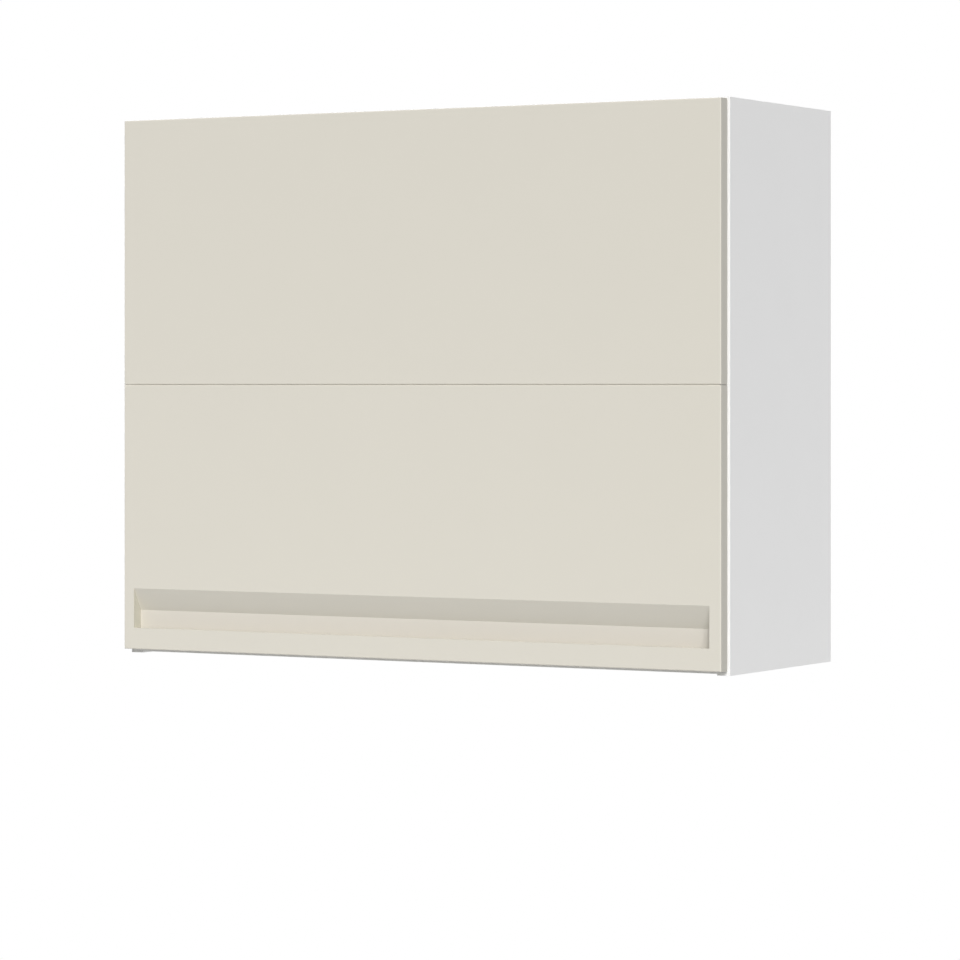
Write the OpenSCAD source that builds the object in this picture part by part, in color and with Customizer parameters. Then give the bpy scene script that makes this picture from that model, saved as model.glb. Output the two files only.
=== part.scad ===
// Wall cabinet with a two-part folding lift-up front.
// X runs along the wall, Y into the wall (the wall face is Y = 0), Z up from the side panels' lower ends.

/* [Carcass] */
// Overall width over the side panels
cab_w = 900; // [700:50:1200]
// Overall height of the side panels
cab_h = 720; // [660:10:900]
// Depth of the carcass, without the fronts
cab_d = 300; // [290:5:360]
// Thickness of the carcass panels
board_t = 18; // [16:1:19]
// Height of the bottom panel's underside above the side panels' ends
bottom_rise = 2; // [0:0.5:6]
// Thickness of the glued edge bands
band_t = 1; // [0.5:0.1:2]
// Thickness of the back panel
back_t = 3; // [3:0.5:5]
// Distance from the wall to the back panel
back_inset = 15; // [12:1:25]
// Depth of the groove that holds the back panel
groove_depth = 8; // [6:0.5:9]

/* [Shelf] */
// Distance from the shelf's front edge to the front of the carcass
shelf_setback = 60; // [55:1:90]
// Play between the shelf and each side panel
shelf_play = 1; // [0.5:0.5:2]
// Which hole of the rows carries the shelf, counted from the lowest
shelf_hole = 4; // [1:1:5]
// Height of the lowest shelf hole
first_hole_z = 254; // [200:1:260]
// Distance between the shelf holes
hole_pitch = 32; // [25:1:32]
// Number of holes in each row
hole_count = 7; // [6:1:7]
// Diameter of the shelf holes
hole_d = 5; // [4:0.5:5]
// Depth of the shelf holes
hole_depth = 11; // [9:1:12]
// Distance from the shelf's edges to the rows of holes
hole_row_set = 45; // [30:1:60]

/* [Fronts] */
// Thickness of the fronts
front_t = 19; // [18:0.5:22]
// Gap between the carcass and the fronts
front_gap = 2; // [2:0.5:3]
// Distance that the fronts stay inside the carcass at each side
side_reveal = 2; // [1:0.5:4]
// Distance that the upper front stays under the carcass top
top_reveal = 2; // [1:0.5:4]
// Height of the lower front's bottom edge above the side panels' ends
bottom_reveal = 6; // [2:0.5:10]
// Gap between the two fronts
centre_gap = 0.5; // [0.5:0.1:4]
// Radius of the fronts' rounded edges
edge_r = 1.5; // [1:0.1:2]
// Diameter of the soft buffers behind the lower front
buffer_d = 9; // [6:0.5:12]
// Air between a buffer and the front
buffer_air = 0.3; // [0.2:0.1:0.5]

/* [Grip recess] */
// Distance from the ends of the recess to the ends of the front
grip_inset = 16; // [10:1:60]
// Height of the recess's lower edge above the front's bottom edge
grip_low = 28.5; // [24:0.5:34]
// Height of the recess's upper edge above the front's bottom edge
grip_high = 81.8; // [70:0.1:100]
// Height at which the slanted face meets the back plate
grip_knee = 52; // [46:0.5:60]
// Thickness of the plate that closes the recess at the back
grip_plate_t = 2.5; // [2:0.1:4]
// Thickness of the lip that the fingers pull
lip_t = 6; // [5:0.5:8]
// Depth of the finger groove behind the lip
lip_groove = 8; // [4:0.5:10]
// Width by which the plate laps over the recess's edges
plate_lap = 6; // [4:0.5:8]

/* [Folding linkage] */
// Distance of the upper hinge axis ahead of the upper front's back face
hinge_set = 10; // [9:0.5:11]
// Distance of the upper hinge axis under the upper front's top edge
hinge_drop = 6.5; // [6:0.1:7]
// Distance of the centre hinge axis behind the fronts' back faces
centre_set = 4; // [4:0.1:5]
// Distance of the arm's pivot behind the upper hinge axis
arm_back = 36; // [34:1:48]
// Distance of the arm's pivot under the upper hinge axis
arm_drop = 178; // [160:1:200]
// Angle by which the upper front opens
open_angle = 104; // [90:1:106]
// Distance of the hinges from the outer faces of the sides
hinge_inset = 112; // [100:1:160]

/* [Upper hinges] */
// Diameter of the hinge cup
cup_d = 35; // [34:0.5:36]
// Depth of the hinge cup in the front
cup_depth = 13.3; // [13.2:0.1:13.8]
// Width of wood between the cup and the front's top edge
cup_edge = 2.5; // [2.4:0.1:2.8]
// Thickness of the cup's wall
cup_wall = 0.9; // [0.7:0.1:1.1]
// Distance between the two screws of a cup
cup_screws = 48; // [45:1:52]
// Width of the hinge arm's neck
neck_w = 6.6; // [5:0.1:7]
// Thickness of the hinge arm's neck
neck_t = 2.4; // [1.8:0.1:2.5]
// Diameter of the hinge pin
hinge_pin_d = 2.4; // [2:0.1:2.6]
// Width of the hinge arm's channel
channel_w = 12; // [10:0.5:14]
// Length of the hinge arm's channel
channel_len = 56; // [50:1:70]
// Height of the hinge arm's channel
channel_h = 9; // [7:0.5:10]
// Span of the mounting plate's two wings
plate_span = 46; // [44:1:56]
// Length of the mounting plate
plate_len = 40; // [34:1:44]

/* [Centre hinges] */
// Length of a centre hinge along its axis
leaf_len = 50; // [40:1:70]
// Height of a leaf above or below the axis
leaf_h = 34; // [28:1:40]
// Thickness of a leaf
leaf_t = 2; // [1.5:0.1:2.4]
// Outer diameter of the knuckles
knuckle_d = 7.4; // [6.8:0.1:7.4]
// Diameter of the centre hinge's pin
leaf_pin_d = 3.2; // [2.8:0.1:3.6]

/* [Lift unit] */
// Thickness of the lift unit from the side panel to its inner face
unit_t = 28; // [27:0.5:30]
// Thickness of the steel chassis
steel_t = 2; // [1.5:0.1:2.5]
// Wall of the plastic cover
cover_t = 2; // [1.5:0.1:2]
// Diameter of the axle that carries the cam and the arm
axle_d = 10; // [8:0.5:12]
// Distance of the roller from the axle when the front is closed
cam_r_closed = 44; // [43:0.5:46]
// Distance of the roller from the axle when the front is open
cam_r_open = 28; // [26:0.5:30]
// Diameter of the roller
roller_d = 16; // [14:0.5:17]
// Thickness of the cam
cam_t = 9.4; // [8:0.1:9.4]
// Diameter of the cam's hub
cam_hub_d = 24; // [20:0.5:25]
// Diameter of the roller's axle
roller_axle_d = 6; // [5:0.5:7]
// Width between the two cheeks of the slide
cheek_gap = 10.8; // [10.8:0.1:11.4]
// Thickness of each cheek
cheek_t = 3; // [2:0.1:3]
// Thickness of the slide's cross block
block_t = 10; // [8:0.5:11]
// Distance of each spring's axis above or below the unit's middle
spring_off = 16; // [15.5:0.1:16.5]
// Mean diameter of the springs
spring_d = 13.6; // [12.5:0.1:14]
// Diameter of the spring wire
wire_d = 2.5; // [2:0.1:2.8]
// Curls of each spring
spring_turns = 12; // [8:1:13]
// Length of the springs when the front is closed
spring_len = 78; // [74:1:80]
// Diameter of the guide rods
rod_d = 6; // [5:0.5:7]
// Diameter of the adjusting spindle
spindle_d = 4; // [3:0.5:4]

/* [Arm] */
// Width of the arm's tube
tube_w = 16; // [14:0.5:20]
// Thickness of the arm's tube
tube_t = 8; // [7:0.5:8]
// Wall of the arm's tube
tube_wall = 1.3; // [1:0.1:1.6]
// Length of the tube from the pivot
tube_len = 212; // [190:1:230]
// Thickness of the inner rod
rod_t = 5; // [4:0.1:5]
// Length of the inner rod that stays in the tube
rod_overlap = 80; // [60:1:120]
// Diameter of the arm's hub
arm_hub_d = 28; // [26:0.5:30]
// Diameter of the eye at the arm's end
eye_d = 16; // [14:0.5:18]

/* [Front brackets] */
// Diameter of the bracket's pin
bracket_pin_d = 8; // [6:0.5:8]
// Thickness of the bracket's ear
ear_t = 4; // [3:0.5:5]
// Width of the bracket's base plate
base_w = 30; // [26:1:34]
// Height of the bracket's base plate
base_h = 56; // [48:1:70]
// Thickness of the bracket's base plate
base_t = 2.5; // [2:0.1:3]

/* [Hangers] */
// Width of the cabinet hanger's body
hanger_w = 20; // [18:1:24]
// Depth of the cabinet hanger's body
hanger_d = 45; // [40:1:52]
// Height of the cabinet hanger's body
hanger_h = 60; // [54:1:66]
// Thickness of the hook
hook_t = 3; // [2.5:0.1:4]
// Width of the hook
hook_w = 12; // [10:0.5:14]
// Wall of the hanger's cover
cap_t = 1.2; // [1:0.1:1.5]

/* [Fittings] */
// Distance of the corner fittings from the front and the back
fitting_set = 60; // [50:1:80]
// Distance from a corner fitting to its dowel
dowel_step = 32; // [25:1:40]
// Diameter of the dowels
dowel_d = 8; // [6:0.5:8]
// Length of the dowels
dowel_len = 35; // [30:1:40]
// Length of the dowel that sits in the side panel
dowel_in_side = 12; // [10:0.5:13]
// Diameter of the cam locks
lock_d = 15; // [12:0.5:16]
// Height of the cam locks
lock_h = 12; // [11:0.5:12]
// Distance from a cam lock to the side panel
lock_set = 34; // [24:1:40]
// Diameter of the bolt's shank
bolt_d = 6; // [5:0.5:6]
// Diameter of the fixing screws' shanks
screw_d = 3.5; // [3:0.1:4]
// Diameter of the fixing screws' heads
screw_head_d = 7; // [6:0.1:7.4]
// Height of the fixing screws' heads
screw_head_h = 1.8; // [1.4:0.1:2]
// Depth of the fixing screws in the panels
screw_depth = 11; // [9:0.5:12]

/* [Clearances] */
// Radial clearance of pins, axles and fitted shanks
fit = 0.05; // [0.03:0.01:0.08]
// Clearance between faces that move past each other
air = 0.4; // [0.3:0.05:0.5]

/* [Hidden] */
$fn = 48;
cut = 1; // overshoot of every cutter

lacquer = [0.86, 0.84, 0.80];
melamine = [0.95, 0.95, 0.94];
back_white = [0.92, 0.92, 0.91];
steel = [0.74, 0.75, 0.77];
dark_steel = [0.52, 0.53, 0.55];
plastic = [0.85, 0.86, 0.87];
grey_plastic = [0.62, 0.63, 0.65];
beech = [0.82, 0.68, 0.48];

// Carcass: X of the sides' inner faces, Y of the back panel's front face, Z of the inner faces
inner_x = cab_w / 2 - board_t;
board_d = cab_d - band_t;
back_y = -(back_inset + back_t);
bottom_top = bottom_rise + board_t;
top_under = cab_h - board_t;
groove_play = 0.1;
groove_hold = groove_depth - 0.5;

// Fronts
front_back_y = -(cab_d + front_gap);
front_face_y = front_back_y - front_t;
front_w = cab_w - 2 * side_reveal;
front_top = cab_h - top_reveal;
flap_h = (front_top - bottom_reveal - centre_gap) / 2;
lower_top = bottom_reveal + flap_h;
upper_low = lower_top + centre_gap;

// Linkage, as [Y, Z]: the upper hinge, the centre hinge, the arm's pivot on the lift unit and its eye on
// the lower front. The four points are a parallelogram, so the lower front stays upright as it rises.
hinge_at = [front_back_y - hinge_set, front_top - hinge_drop];
fold_at = [front_back_y + centre_set, lower_top + centre_gap / 2];
pivot_at = hinge_at + [arm_back, -arm_drop];
eye_at = fold_at + [arm_back, -arm_drop];
arm_len = norm(fold_at - hinge_at);
arm_tilt = atan2(fold_at[0] - hinge_at[0], hinge_at[1] - fold_at[1]);
hinge_x = cab_w / 2 - hinge_inset;

// Grip recess
recess_x = front_w / 2 - grip_inset;
recess_floor_y = front_back_y - grip_plate_t;
recess_low = bottom_reveal + grip_low;
recess_knee = bottom_reveal + grip_knee;
recess_high = bottom_reveal + grip_high;
groove_low = recess_low - lip_groove;
plate_reach = plate_lap - 0.1;

// Shelf and its pins
shelf_front_y = shelf_setback - cab_d;
shelf_back_y = back_y - 1;
pin_z = first_hole_z + (shelf_hole - 1) * hole_pitch;
shelf_z = pin_z + hole_d / 2;
row_ys = [shelf_front_y + hole_row_set, shelf_back_y - hole_row_set];
pin_reach = 9;
pin_rest_r = 5.5;

// Corner fittings: the locks and the dowels stand in rows, for the top and for the bottom panel
lock_ys = [fitting_set - cab_d, -fitting_set];
dowel_ys = [lock_ys[0] + dowel_step, lock_ys[1] - dowel_step];
dowel_air = 0.5;
lock_faces = [bottom_top, cab_h];
lock_sink = 1;
lock_cap_t = 0.8;
cross_deep = 1.5;
bolt_head_d = 6.8;
bolt_head_l = 3;
thread_d = 5;
thread_l = 11;

// Upper hinges
cup_z = front_top - cup_edge - cup_d / 2;
cup_screw_z = cup_z - 9.5;
flange_t = 1;
flange_ear_r = 8;
flange_notch_z = 1.5;
neck_screw_ys = [10, 26];
neck_screw_t = 2;
neck_eye_r = hinge_pin_d / 2 + 1.3;
neck_front = -(neck_eye_r + 0.1);
corner_reach = norm([hinge_set - edge_r, hinge_drop - edge_r]) + edge_r;
neck_top = -(corner_reach + air);
neck_low = neck_top - neck_t;
slot_half = neck_w / 2 + 0.3;
slot_top = neck_eye_r + air;
slot_low = -(norm([neck_front, neck_low]) + air);
cheek_half = slot_half + 4.4;
channel_y = hinge_set + front_gap + 2;
plate_y = channel_y + 8;
plate_h = top_under - (hinge_at[1] + neck_top);
plate_screw_x = plate_span / 2 - 6.5;
wing_edge = 3;

// Centre hinges
knuckles = 5;
knuckle_l = leaf_len / knuckles;
leaf_screws = [[-leaf_len / 3, leaf_h - 8], [leaf_len / 3, leaf_h - 8], [0, leaf_h / 2]];

// Lift unit, in a frame on its own middle plane with Y and Z from the axle, for the right-hand unit
unit_half = unit_t / 2;
unit_x = inner_x - unit_half;
plate_x = unit_half - steel_t;
roller_r = roller_d / 2;
cam_air = 0.3;
cam_lead = 5;
cam_steps = 24;
cam_fall = (cam_r_closed - cam_r_open) / open_angle;
travel = cam_r_closed - cam_r_open;
block_half = spring_off + spring_d / 2 + wire_d / 2 + 1;
block_front = cam_r_closed + roller_r + 2;
block_back = block_front + block_t;
cheek_x = cheek_gap / 2;
slide_half = cheek_x + cheek_t;
seat_y = block_back + spring_len;
seat_t = 4;
wall_y = seat_y + seat_t + 10;
flange_in = block_half + air;
flange_out = flange_in + steel_t;
flange_x = 3 - slide_half;
unit_front = -18;
tab_y = unit_front + cover_t + 2;
unit_back = wall_y + steel_t + cover_t + 1;
unit_high = flange_out + cover_t + 1;
unit_low = -(cam_r_closed - roller_r + cover_t + 2);
rod_front = block_front - travel;
spindle_x = plate_x - spindle_d - air;
spindle_z = -(flange_out + spindle_d / 2 + 1.5);
lug_r = 8;
lug_spots = [[unit_back + lug_r, 12], [unit_back + lug_r, -22], [2, unit_high + lug_r]];
window_low_y = block_front - travel;
window_high_y = seat_y + seat_t;
seat_air = 0.05;
spindle_over = 6;
spindle_head_t = 1.6;
seat_ear = 4.5;
vent_pitch = 6;
vent_w = 3;
vent_low = 6;
vent_h = 12;

// Arm, in a frame at its pivot with the arm running down
arm_x = inner_x - unit_t - air - tube_t / 2;
hub_end = -unit_half - air;
rod_w = tube_w - 2 * tube_wall - 2;
ear_x = arm_x - rod_t / 2 - air - ear_t;
ear_in = 4;
base_x = ear_x + base_w / 2 - ear_in;
base_screw_z = base_h / 2 - 8;
ear_half = base_h / 2 - 6;
head_t = 1.5;
dimple_d = 4;
dimple_low = 12;
dimple_pitch = 14;
tube_end_gap = 5;

// Hangers
hanger_x = inner_x - hanger_w;
hanger_y = back_y - hanger_d;
hanger_z = top_under - hanger_h;
hook_x = inner_x - hanger_w / 2;
hook_z = top_under - 22;
hook_nose_y = -5;
hook_drop = 22;
hook_start_y = hanger_y + 10;
hook_room = 3;
peg_d = 10;
peg_l = 10;
peg_in = 17;
peg_end = 12;
peg_spots = [[back_y - peg_in, top_under - peg_end], [back_y - peg_in, hanger_z + peg_end]];
adjuster_d = 8;
adjuster_l = 10;
adjuster_high = 11;
adjuster_low = 16;
adjuster_zs = [top_under - adjuster_high, hanger_z + adjuster_low];

buffer_up = 24;
buffer_zs = [bottom_reveal + buffer_up, upper_low + buffer_up];

// ---- shapes that repeat ----

// Draws its children for the right-hand side, or mirrored for the left
module on_side(side) {
  if (side < 0) mirror([1, 0, 0]) children();
  else children();
}

// Runs a [Y, Z] outline along X
module along_x(x, len) {
  translate([x, 0, 0]) rotate([90, 0, 90]) linear_extrude(len) children();
}

// Round bar along X
module x_bar(d, x, len, at) {
  translate([x, at[0], at[1]]) rotate([0, 90, 0]) cylinder(h = len, d = d);
}

// Round bar along Y, centred on x and z
module y_bar(d, y, len, x, z) {
  translate([x, y, z]) rotate([-90, 0, 0]) cylinder(h = len, d = d);
}

// Box from its lowest to its highest corner
module span(low, high) {
  translate(low) cube(high - low);
}

module round_rect(w, h, r) {
  square([w - 2 * r, h], center = true);
  square([w, h - 2 * r], center = true);
  for (x = [-1, 1], y = [-1, 1]) translate([x * (w / 2 - r), y * (h / 2 - r)]) circle(r);
}

module round_span(low, high, r) {
  translate((low + high) / 2) round_rect(high[0] - low[0], high[1] - low[1], r);
}

// Screw along +Z: its head lies under z = 0 and the shank goes through grip and into the wood
module fixing_screw(grip) {
  point = screw_d;
  difference() {
    translate([0, 0, -screw_head_h]) cylinder(h = screw_head_h, d = screw_head_d);
    for (turn = [0, 90]) rotate(turn)
      translate([0, 0, -screw_head_h]) cube([screw_head_d / 2, screw_d / 4, screw_head_h], center = true);
  }
  cylinder(h = grip + screw_depth - point, d = screw_d);
  translate([0, 0, grip + screw_depth - point]) cylinder(h = point, d1 = screw_d, d2 = screw_d / 4);
}

// Pilot hole along +Z from z = 0
module pilot() {
  translate([0, 0, -cut]) cylinder(h = screw_depth + 2 * cut, d = screw_d + 2 * fit);
}

// Clear hole through a fitting of thickness grip, along +Z from z = 0
module screw_hole(grip) {
  translate([0, 0, -cut]) cylinder(h = grip + 2 * cut, d = screw_d + 2 * fit);
}

// Turns +Z to point forward into the back face of a front
module into_front(x, z, lift = 0) {
  translate([x, front_back_y + lift, z]) rotate([90, 0, 0]) children();
}

// ---- carcass ----

module lock_seats(side) {
  for (face = lock_faces, y = lock_ys) on_side(side)
    translate([inner_x - lock_set, y, face]) children();
}

module side_panel(side) {
  color(melamine) on_side(side) difference() {
    span([inner_x, -board_d, 0], [cab_w / 2, 0, cab_h]);
    span([inner_x - cut, back_y - groove_play, -cut],
         [inner_x + groove_depth, groove_play - back_inset, cab_h + cut]);
    for (y = row_ys, i = [0 : hole_count - 1])
      x_bar(hole_d, inner_x - cut, hole_depth + cut, [y, first_hole_z + i * hole_pitch]);
    for (face = lock_faces, y = lock_ys)
      x_bar(thread_d + 2 * fit, inner_x - cut, thread_l + 2 * cut, [y, face - board_t / 2]);
    for (face = lock_faces, y = dowel_ys)
      x_bar(dowel_d + 2 * fit, inner_x - cut, dowel_in_side + cut + dowel_air, [y, face - board_t / 2]);
    for (spot = peg_spots) x_bar(peg_d + 2 * fit, inner_x - cut, peg_l + 2 * cut, spot);
    for (spot = lug_spots) translate([inner_x, pivot_at[0] + spot[0], pivot_at[1] + spot[1]])
      rotate([0, 90, 0]) pilot();
  }
}

// A board between the sides, with its upper face at the given height
module cross_board(face) {
  difference() {
    span([-inner_x, -board_d, face - board_t], [inner_x, 0, face]);
    for (side = [-1, 1], y = lock_ys) on_side(side) {
      translate([inner_x - lock_set, y, face - lock_h - lock_sink])
        cylinder(h = lock_h + lock_sink + cut, d = lock_d);
      x_bar(bolt_d + 1, inner_x - lock_set, lock_set + cut, [y, face - board_t / 2]);
    }
    for (side = [-1, 1], y = dowel_ys) on_side(side)
      x_bar(dowel_d + 2 * fit, inner_x + dowel_in_side - dowel_len - cut, dowel_len,
            [y, face - board_t / 2]);
  }
}

// Groove for the back panel: it starts at the given face and goes up or down into the board
module back_groove(face, way) {
  depth = way * groove_depth;
  span([-inner_x - cut, back_y - groove_play, min(face - way * cut, face + depth)],
       [inner_x + cut, groove_play - back_inset, max(face - way * cut, face + depth)]);
}

module top_panel() {
  color(melamine) difference() {
    cross_board(cab_h);
    back_groove(top_under, 1);
    for (side = [-1, 1], x = [-1, 1])
      translate([side * hinge_x + x * plate_screw_x, hinge_at[0] + plate_y + plate_len / 2, top_under])
        pilot();
  }
}

module bottom_panel() {
  color(melamine) difference() {
    cross_board(bottom_top);
    back_groove(bottom_top, -1);
  }
}

module back_panel() {
  hold = groove_hold;
  color(back_white) difference() {
    span([-inner_x - hold, back_y, bottom_top - hold], [inner_x + hold, -back_inset, top_under + hold]);
    for (side = [-1, 1]) on_side(side)
      span([hook_x - hook_w / 2 - hook_room, back_y - cut, hook_z - hook_drop - hook_room],
           [hook_x + hook_w / 2 + hook_room, cut - back_inset, hook_z + hook_t + hook_room]);
  }
}

module shelf() {
  color(melamine)
    span([shelf_play - inner_x, shelf_front_y + band_t, shelf_z],
         [inner_x - shelf_play, shelf_back_y, shelf_z + board_t]);
}

module shelf_edge_band() {
  color(melamine)
    span([shelf_play - inner_x, shelf_front_y, shelf_z],
         [inner_x - shelf_play, shelf_front_y + band_t, shelf_z + board_t]);
}

module carcass_edge_bands() {
  color(melamine) {
    for (side = [-1, 1]) on_side(side) span([inner_x, -cab_d, 0], [cab_w / 2, -board_d, cab_h]);
    for (face = lock_faces)
      span([fit - inner_x, -cab_d, face - board_t], [inner_x - fit, -board_d, face]);
  }
}

// A stem in the hole and a half-round rest with a flat top
module shelf_pins() {
  color(steel) for (side = [-1, 1], y = row_ys) on_side(side) {
    x_bar(hole_d - 2 * fit, inner_x - cut, hole_depth, [y, pin_z]);
    along_x(inner_x - pin_reach, pin_reach) translate([y, pin_z]) difference() {
      circle(pin_rest_r);
      translate([-pin_rest_r, hole_d / 2]) square([2 * pin_rest_r, pin_rest_r]);
    }
  }
}

module connector_dowels() {
  color(beech) for (side = [-1, 1], face = lock_faces, y = dowel_ys) on_side(side)
    x_bar(dowel_d, inner_x + dowel_in_side - dowel_len, dowel_len, [y, face - board_t / 2]);
}

// Round lock with a pocket for the bolt's head and a cross on its face
module cam_lock() {
  translate([0, 0, -lock_h - lock_sink]) difference() {
    cylinder(h = lock_h, d = lock_d - 2 * fit);
    x_bar(bolt_head_d + 1, -bolt_head_l, lock_d, [0, lock_h + lock_sink - board_t / 2]);
    for (turn = [0, 90]) rotate(turn)
      translate([0, 0, lock_h]) cube([lock_d / 2, lock_d / 12, 2 * cross_deep], center = true);
  }
}

module cam_locks() {
  color(steel) for (side = [-1, 1]) lock_seats(side) cam_lock();
}

module cam_bolts() {
  mid = -board_t / 2;
  color(dark_steel) for (side = [-1, 1]) lock_seats(side) {
    x_bar(bolt_head_d, -bolt_head_l / 2, bolt_head_l, [0, mid]);
    x_bar(bolt_d, 0, lock_set, [0, mid]);
    x_bar(thread_d, lock_set - cut, thread_l + cut, [0, mid]);
  }
}

module cam_caps() {
  color(melamine) for (side = [-1, 1]) lock_seats(side)
    translate([0, 0, -lock_cap_t]) cylinder(h = lock_cap_t, d = lock_d - 2 * fit);
}

// Soft discs on the carcass edge that stop the fronts
module door_buffers() {
  color(grey_plastic) for (side = [-1, 1], z = buffer_zs) on_side(side)
    y_bar(buffer_d, -cab_d - front_gap + buffer_air, front_gap - buffer_air, inner_x + board_t / 2, z);
}

// Screws of the lift units' lugs and of the hinges' mounting plates
module carcass_screws() {
  color(steel) {
    for (side = [-1, 1], spot = lug_spots) on_side(side)
      translate([inner_x - steel_t, pivot_at[0] + spot[0], pivot_at[1] + spot[1]])
        rotate([0, 90, 0]) fixing_screw(steel_t);
    for (side = [-1, 1], x = [-1, 1])
      translate([side * hinge_x + x * plate_screw_x, hinge_at[0] + plate_y + plate_len / 2,
                 top_under - plate_h])
        fixing_screw(plate_h);
  }
}

// ---- hangers in the upper rear corners ----

module hanger_body(side) {
  color(plastic) on_side(side) {
    difference() {
      along_x(hanger_x, hanger_w)
        round_span([hanger_y, hanger_z], [back_y, top_under], 3);
      span([hook_x - hook_w / 2 - fit, hook_start_y, hook_z - fit],
           [hook_x + hook_w / 2 + fit, back_y + cut, hook_z + hook_t + fit]);
      for (z = adjuster_zs)
        y_bar(adjuster_d + 2 * fit, hanger_y - cut, adjuster_l + cut + 1, hook_x, z);
    }
    for (spot = peg_spots) x_bar(peg_d, inner_x - cut, peg_l + cut, spot);
  }
}

// Flat hook: it leaves the body through the back panel and turns down behind it
module hanger_hook(side) {
  color(steel) on_side(side) along_x(hook_x - hook_w / 2, hook_w) {
    translate([hook_start_y + cut, hook_z]) square([hook_nose_y - hook_start_y - cut - hook_t, hook_t]);
    translate([hook_nose_y - hook_t, hook_z]) difference() {
      circle(hook_t);
      translate([-hook_t, -hook_t]) square([2 * hook_t, hook_t]);
      translate([-hook_t, -hook_t]) square([hook_t, 2 * hook_t]);
    }
    translate([hook_nose_y - hook_t, hook_z + cut - hook_drop]) square([hook_t, hook_drop - cut]);
    translate([hook_nose_y - hook_t / 2, hook_z + cut - hook_drop]) circle(hook_t / 2);
  }
}

// Thin snap-on cover over the body's front, side and underside
module hanger_cover(side) {
  skin = cap_t + 2 * fit;
  color(melamine) on_side(side) difference() {
    along_x(hanger_x - skin, hanger_w + skin - fit)
      round_span([hanger_y - skin, hanger_z - skin], [back_y - fit, top_under - fit], 3);
    span([hanger_x - 2 * fit, hanger_y - 2 * fit, hanger_z - 2 * fit],
         [inner_x + cut, back_y + cut, top_under + cut]);
    for (z = adjuster_zs) y_bar(adjuster_d + 1, hanger_y - skin - cut, skin + 2 * cut, hook_x, z);
  }
}

module hanger_adjusters() {
  color(steel) for (side = [-1, 1], z = adjuster_zs) on_side(side) difference() {
    y_bar(adjuster_d, hanger_y + 1, adjuster_l, hook_x, z);
    for (turn = [0, 90]) translate([hook_x, hanger_y + 1, z]) rotate([0, turn, 0])
      cube([adjuster_d / 2, 4, adjuster_d / 6], center = true);
  }
}

// ---- upper hinges: cup, arm and mounting plate ----

// Draws its children at each side's hinge, with Y and Z measured from the hinge axis
module at_hinge(side) {
  translate([side * hinge_x, hinge_at[0], hinge_at[1]]) children();
}

// Cup pressed into the front, with two cheeks for the pin and a screwed flange
module hinge_cup(side) {
  rim_y = hinge_set;
  floor_y = hinge_set - cup_depth;
  mid_z = cup_z - hinge_at[1];
  screw_z = cup_screw_z - hinge_at[1];
  color(steel) at_hinge(side) difference() {
    union() {
      difference() {
        y_bar(cup_d, floor_y, cup_depth, 0, mid_z);
        y_bar(cup_d - 2 * cup_wall, floor_y + cup_wall, cup_depth, 0, mid_z);
      }
      intersection() {
        y_bar(cup_d - cup_wall, floor_y + cup_wall / 2, cup_depth - cup_wall / 2 - 1, 0, mid_z);
        for (x = [-1, 1]) span([x > 0 ? slot_half : -cheek_half, floor_y, -hinge_set],
                               [x > 0 ? cheek_half : -slot_half, rim_y, slot_top + cup_wall]);
      }
      difference() {
        union() {
          y_bar(cup_d + 4, rim_y, flange_t, 0, mid_z);
          for (x = [-1, 1]) y_bar(2 * flange_ear_r, rim_y, flange_t, x * cup_screws / 2, screw_z);
          span([-cup_screws / 2, rim_y, screw_z - flange_ear_r],
               [cup_screws / 2, rim_y + flange_t, screw_z + flange_ear_r]);
        }
        y_bar(cup_d - 2 * cup_wall, rim_y - cut, flange_t + 2 * cut, 0, mid_z);
        span([-cup_d, rim_y - cut, flange_notch_z], [cup_d, rim_y + flange_t + cut, cup_d]);
        for (x = [-1, 1]) y_bar(screw_d + 2 * fit, rim_y - cut, flange_t + 2 * cut,
                                x * cup_screws / 2, screw_z);
      }
    }
    // Path of the neck, open towards the carcass
    span([-slot_half, neck_front - air, slot_low], [slot_half, rim_y, slot_top]);
    span([-slot_half - air, rim_y, slot_low], [slot_half + air, rim_y + flange_t + cut, cup_d]);
    x_bar(hinge_pin_d + 2 * fit, -cheek_half - cut, 2 * (cheek_half + cut), [0, 0]);
  }
}

module hinge_pins() {
  color(dark_steel) for (side = [-1, 1]) at_hinge(side)
    x_bar(hinge_pin_d, -cheek_half, 2 * cheek_half, [0, 0]);
}

// Bent neck from the pin, then a channel under the mounting plate
module hinge_arm(side) {
  back_end = channel_y + channel_len;
  color(steel) at_hinge(side) difference() {
    union() {
      x_bar(2 * neck_eye_r, -neck_w / 2, neck_w, [0, 0]);
      along_x(-neck_w / 2, neck_w) {
        translate([neck_front, neck_low]) square([neck_t, -neck_low]);
        translate([neck_front, neck_low]) square([channel_y + cut - neck_front, neck_t]);
      }
      translate([-channel_w / 2, channel_y, neck_low]) cube([channel_w, channel_len, neck_t]);
      for (x = [-1, 1]) translate([x * (channel_w - neck_t / 2) / 2 - neck_t / 4, 0, 0])
        along_x(0, neck_t / 2) polygon([
          [channel_y, neck_top], [channel_y, neck_low - channel_h / 2],
          [channel_y + channel_h / 2, neck_top - channel_h], [back_end - channel_h, neck_top - channel_h],
          [back_end, neck_low], [back_end, neck_top]
        ]);
      for (y = neck_screw_ys) translate([0, channel_y + y, neck_low - neck_screw_t])
        cylinder(h = neck_screw_t + cut, d = channel_w - 2 * neck_t);
    }
    x_bar(hinge_pin_d + 2 * fit, -neck_w, 2 * neck_w, [0, 0]);
    for (y = neck_screw_ys, turn = [0, 90])
      translate([0, channel_y + y, neck_low - neck_screw_t]) rotate(turn)
        cube([channel_w / 3, channel_w / 12, neck_t], center = true);
  }
}

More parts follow.
